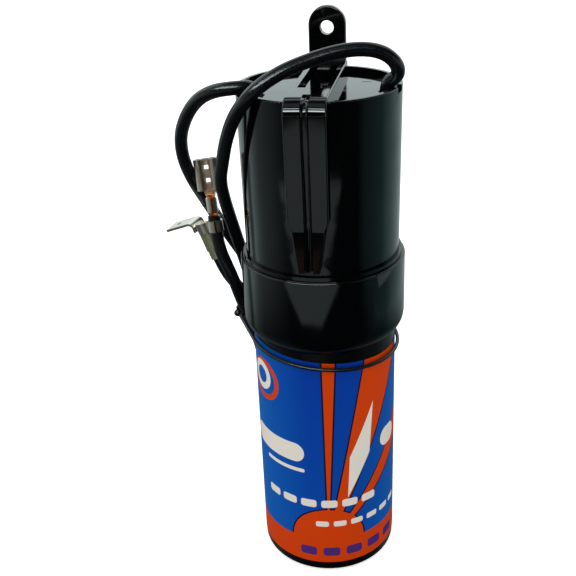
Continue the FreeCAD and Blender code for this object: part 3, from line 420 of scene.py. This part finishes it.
def tieKnot():
    # the profile's radius by height, turned round Z, times a wave round it that twists upwards
    look = knotLook
    heights, radii = np.array(look["profile"]).T
    z = np.linspace(heights[0], heights[-1], look["rows"])[:, None]
    around = np.linspace(0, 2 * np.pi, look["sides"], endpoint=False)
    ridged = 1 + look["ridge"] * np.cos(look["ridges"] * around + look["twist"] * z)
    radius = np.interp(z, heights, radii) * ridged
    points = np.stack([radius * np.cos(around), radius * np.sin(around),
                       np.broadcast_to(z, radius.shape)], axis=-1).reshape(-1, 3)
    low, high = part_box("tie_head")
    spot = np.array((low + high) / 2) / mm + look["shift"]
    knot = meshPiece("tie_knot", standing(points, spot, look["along"], look["facing"]),
                     closedGrid(*radius.shape), tieNylon)
    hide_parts("tie_head")


tieKnot()
print("tie done")


# Leads: the same points as in the CAD source, in mm

leftRoute = [
    (-16.39, -8.79, 159.9), (-16.39, -8.79, 164.4), (-22.8, -12.2, 164.7), (-28.6, -11.8, 163.8),
    (-33.9, -9.8, 160.9), (-38.6, -6.8, 155.2), (-42.1, -3.0, 148.0), (-43.2, 1.4, 139.7),
    (-42.6, 6.4, 131.8), (-40.3, 10.4, 124.1), (-36.5, 13.5, 114.8), (-31.7, 15.3, 105.4),
    (-27.3, 17.0, 97.0), (-22.3, 19.8, 89.5), (-15.8, 23.4, 81.5), (-8.2, 25.8, 76.0),
    (-1.5, 26.8, 69.5), (1.2, 26.9, 61.0), (-1.5, 26.8, 53.0), (-7.5, 25.8, 47.3),
    (-14.5, 22.6, 46.0), (-20.5, 17.4, 50.0), (-23.4, 13.2, 59.0), (-24.6, 10.5, 70.9),
    (-26.4, 5.5, 83.5), (-28.2, 3.0, 90.9), (-29.7, 1.6, 98.2), (-31.9, 0.9, 105.0),
    (-33.9, 1.22, 110.5), (-34.5, 1.8, 115.6),
]
rightRoute = [
    (19.72, -3.87, 159.9), (19.72, -3.87, 164.4), (23.2, -4.6, 166.4), (22.9, -5.5, 169.9),
    (19.2, -6.7, 173.4), (13.3, -8.4, 174.7), (6.4, -10.9, 174.3), (-1.8, -14.3, 172.3),
    (-8.7, -18.0, 169.9), (-15.3, -20.9, 165.6), (-21.2, -18.6, 158.5), (-25.3, -13.9, 149.9),
    (-28.0, -8.9, 141.9), (-30.2, -5.0, 135.2), (-30.4, -0.5, 127.0), (-29.5, 4.5, 116.4),
    (-28.1, 8.2, 105.8), (-26.8, 11.2, 96.0), (-24.6, 14.9, 87.0), (-19.9, 18.9, 79.0),
    (-13.5, 23.0, 73.5), (-8.5, 25.2, 66.5), (-9.5, 24.9, 59.5), (-14.0, 22.8, 55.2),
    (-18.8, 18.9, 57.5), (-21.5, 15.9, 64.5), (-22.9, 14.5, 72.0), (-25.2, 12.3, 79.7),
    (-27.7, 9.0, 88.2), (-30.4, 6.4, 94.8), (-33.65, 5.2, 100.3), (-35.4, 5.2, 105.3),
]
leadLook = {"diameter": 4.0 * mm, "stepsPerSpan": 8, "roundness": 7}


def makeLead(name, route, replaced):
    curve = bpy.data.curves.new(name, "CURVE")
    curve.dimensions = "3D"
    curve.resolution_u = leadLook["stepsPerSpan"]
    curve.bevel_depth = leadLook["diameter"] / 2
    curve.bevel_resolution = leadLook["roundness"]
    curve.use_fill_caps = True
    spline = curve.splines.new("NURBS")
    spline.points.add(len(route) - 1)
    for point, spot in zip(spline.points, route):
        point.co = (*(Vector(spot) * mm), 1.0)
    spline.order_u = 3
    spline.use_endpoint_u = True
    lead = bpy.data.objects.new(name, curve)
    bpy.context.scene.collection.objects.link(lead)
    curve.materials.append(vinyl)
    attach(lead, "root")
    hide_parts(replaced)
    return lead


for name, route, length, replaced, pieces in (
        ("left_lead_curve", leftRoute, 0.2485, "left_lead",
         ["left_lead_end_shown", "left_strands_twisted", "plain_terminal_shown"]),
        ("right_lead_curve", rightRoute, 0.2459, "right_lead",
         ["right_lead_end_shown", "right_strands_twisted", "bent_terminal_shown",
          "bent_terminal_barrel", "bent_terminal_curl"])):
    lead = makeLead(name, route, replaced)
print("leads done")


# Studio: white to the camera, an even soft light on matt surfaces, and in mirrors what the real
# plastic shows. Directions are in degrees round Z from X, and heights in degrees.

studio = {
    "left": 1.12, "right": 0.78,  # soft light from either side
    # round the horizon: direction, level, and red as a share of it
    "around": [
        (-180, 0.34, 0.8), (-162, 0.27, 0.8), (-149, 0.2, 0.8), (-137, 0.1, 0.8), (-126, 0.01, 0.8),
        (-61, 0.0, 0.8), (-30, 0.0, 0.7), (-16, 0.13, 0.6), (14, 0.22, 0.55), (26, 0.4, 0.6),
        (51, 0.54, 0.75), (87, 0.58, 0.9), (112, 0.5, 0.9), (137, 0.62, 0.85), (146, 0.5, 0.8),
        (150, 0.16, 0.8), (155, 0.2, 0.8), (161, 0.75, 0.8), (173, 0.47, 0.8), (180, 0.34, 0.8),
    ],
    # how the horizon fades: between two heights, from one share to another
    "fadeUp": (4.0, 16.0, 1.0, 0.12), "fadeDown": (-30.0, -23.0, 0.25, 1.0),
    # surfaces: direction, half width, soft edge, widening per degree above the table, lowest,
    # highest, soft edge, level, warmth
    "panels": [
        (-99, 23, 5, 3.6, -28.4, -20.0, 0.5, 0.5, 0.0),  # tapered light on strap and collar
        (-114, 15, 6, 0, -14.6, -12.4, 0.5, 0.14, 0.7),  # brown glow at the strap's foot
        (-105, 30, 8, 0, -7, 2, 1.0, 0.3, 0.5),  # warm surface that the terminals show
        (-163, 20, 10, 0, -9.5, 14, 1.5, 0.45, 0.06),  # bright side of the leads, on the left
        (-5, 34, 12, 0, -9.5, 14, 1.5, 0.45, 0.06),  # and on the right
        (-100, 34, 4, 0, 28, 36, 1.0, 16.0, 0.0),  # lamp that lines the rim and the bend
        (-100, 26, 4, 0, 46, 49, 1.0, 12.0, 0.0),  # a second line above it
        (-100, 60, 20, 0, 60, 82, 6, 0.4, 0.0),  # ceiling
        (100, 60, 25, 0, 7, 60, 5, 1.0, 0.0),  # white wall in the sunk disc
        (180, 30, 15, 0, 25, 60, 10, 0.6, 0.0),  # the wall's left end
    ],
    "table": -25.5,
    "cool": (0.88, 1.0, 1.0), "warm": (1.0, 0.45, 0.12),
}

world = bpy.data.worlds.new("studio")
bpy.context.scene.world = world
world.use_nodes = True
sky = world.node_tree
sky.nodes.clear()
direction = addNode(sky, "TexCoord", output="Generated")
direction = addNode(sky, "SeparateXYZ", direction, output=None).outputs
azimuth = addNode(sky, "Math", direction["Y"], direction["X"], operation="ARCTAN2")
azimuth = addNode(sky, "Math", azimuth, operation="DEGREES")
elevation = addNode(sky, "Math", direction["Z"], operation="ARCSINE")
elevation = addNode(sky, "Math", elevation, operation="DEGREES")
aboveTable = addNode(sky, "Math", elevation, studio["table"], operation="SUBTRACT")


def window(value, centre, half, soft, widening=0.0):
    # one within half of the centre and zero past the soft edge. Degrees wrap at half a turn.
    away = addNode(sky, "Math", value, centre, operation="SUBTRACT")
    away = addNode(sky, "Math", away, 180, -180, operation="WRAP")
    away = addNode(sky, "Math", away, operation="ABSOLUTE")
    if widening:
        wider = addNode(sky, "Math", aboveTable, widening, operation="MULTIPLY")
        away = addNode(sky, "Math", away, wider, operation="SUBTRACT")
    return addNode(sky, "MapRange", away, half, half + soft, 1.0, 0.0,
                   interpolation_type="SMOOTHSTEP")


turn = addNode(sky, "Math", azimuth, 360, operation="DIVIDE")
turn = addNode(sky, "Math", turn, 0.5, operation="ADD")
horizon = addNode(sky, "ValToRGB", turn)
stops = horizon.node.color_ramp.elements
while len(stops) < len(studio["around"]):
    stops.new(0.5)
for stop, (spot, level, red) in zip(stops, studio["around"]):
    stop.position = spot / 360 + 0.5
    stop.color = (level * red, level, level, 1.0)
fade = addNode(sky, "Math", addNode(sky, "MapRange", elevation, *studio["fadeUp"]),
               addNode(sky, "MapRange", elevation, *studio["fadeDown"]), operation="MULTIPLY")
mirrored = addNode(sky, "VectorMath", horizon, inputs={"Scale": fade}, operation="SCALE")
for centre, half, soft, widening, low, high, blur, level, warmth in studio["panels"]:
    aside = window(azimuth, centre, half, soft, widening)
    upright = window(elevation, (low + high) / 2, (high - low) / 2, blur)
    mask = addNode(sky, "Math", aside, upright, operation="MULTIPLY")
    # each panel's colour goes from cool to warm by its warmth
    colour = level * ((1 - warmth) * Vector(studio["cool"]) + warmth * Vector(studio["warm"]))
    panel = addNode(sky, "VectorMath", tuple(colour), inputs={"Scale": mask}, operation="SCALE")
    mirrored = addNode(sky, "VectorMath", mirrored, panel, operation="ADD")
ray = addNode(sky, "LightPath", output=None).outputs
sideLight = addNode(sky, "MapRange", direction["X"], -1.0, 1.0, studio["left"], studio["right"])
lit = addNode(sky, "Mix", ray["Is Glossy Ray"], inputs={6: sideLight, 7: mirrored}, output=2,
              data_type="RGBA")
white = (1.0, 1.0, 1.0, 1.0)
shown = addNode(sky, "Mix", ray["Is Camera Ray"], inputs={6: lit, 7: white}, output=2,
                data_type="RGBA")
addNode(sky, "OutputWorld", addNode(sky, "Background", shown, 1.0), output=None)

# Floor: pale, shows the object's soft shadow, and is left out of the mirrored studio
floorLook = {"half": 1.5, "below": 0.05 * mm, "paint": "#F4F4F2", "lift": 0.62}
half = floorLook["half"]
floorMesh = bpy.data.meshes.new("floor")
floorMesh.from_pydata([(-half, -half, 0), (half, -half, 0), (half, half, 0), (-half, half, 0)], [],
                      [(0, 1, 2, 3)])
floor = bpy.data.objects.new("floor", floorMesh)
bpy.context.scene.collection.objects.link(floor)
floor.location.z = -floorLook["below"]
# Matt emulsion: no gloss, lifted to white where the camera sees it
floorPaint = newMaterial("painted pale floor", floorLook["paint"], 1.0, Specular_IOR_Level=0.0)
floorTree = floorPaint.node_tree
floorRay = addNode(floorTree, "LightPath", output=None).outputs
matt = floorTree.nodes["Principled BSDF"]
matt.inputs["Emission Color"].default_value = white
lift = addNode(floorTree, "Math", floorRay["Is Camera Ray"], floorLook["lift"],
               operation="MULTIPLY")
floorTree.links.new(lift, matt.inputs["Emission Strength"])
mixed = addNode(floorTree, "MixShader", floorRay["Is Glossy Ray"], matt.outputs[0],
                addNode(floorTree, "BsdfTransparent"))
floorTree.links.new(mixed, floorTree.nodes["Material Output"].inputs["Surface"])
floorMesh.materials.append(floorPaint)
print("studio done")


# Camera: where the photograph was taken from

cameraLook = {
    "spot": (36.32, -252.01, 220.36),  # mm
    "right": (0.9854, 0.1657, -0.0382), "up": (-0.0379, 0.4331, 0.9005),
    "sensor": 36.0, "lens": 54.94, "shift": (-0.0041, -0.0002), "nearest": 0.01,
}
scene = bpy.context.scene
scene.view_settings.view_transform = "Standard"
cameraData = bpy.data.cameras.new("camera")
cameraData.sensor_width = cameraLook["sensor"]
cameraData.lens = cameraLook["lens"]
cameraData.shift_x, cameraData.shift_y = cameraLook["shift"]
cameraData.clip_start = cameraLook["nearest"]
camera = bpy.data.objects.new("camera", cameraData)
scene.collection.objects.link(camera)
right, up = Vector(cameraLook["right"]), Vector(cameraLook["up"])
facing = Matrix((right, up, right.cross(up))).transposed().to_4x4()
camera.matrix_world = Matrix.Translation(Vector(cameraLook["spot"]) * mm) @ facing
scene.camera = camera
print("camera done")
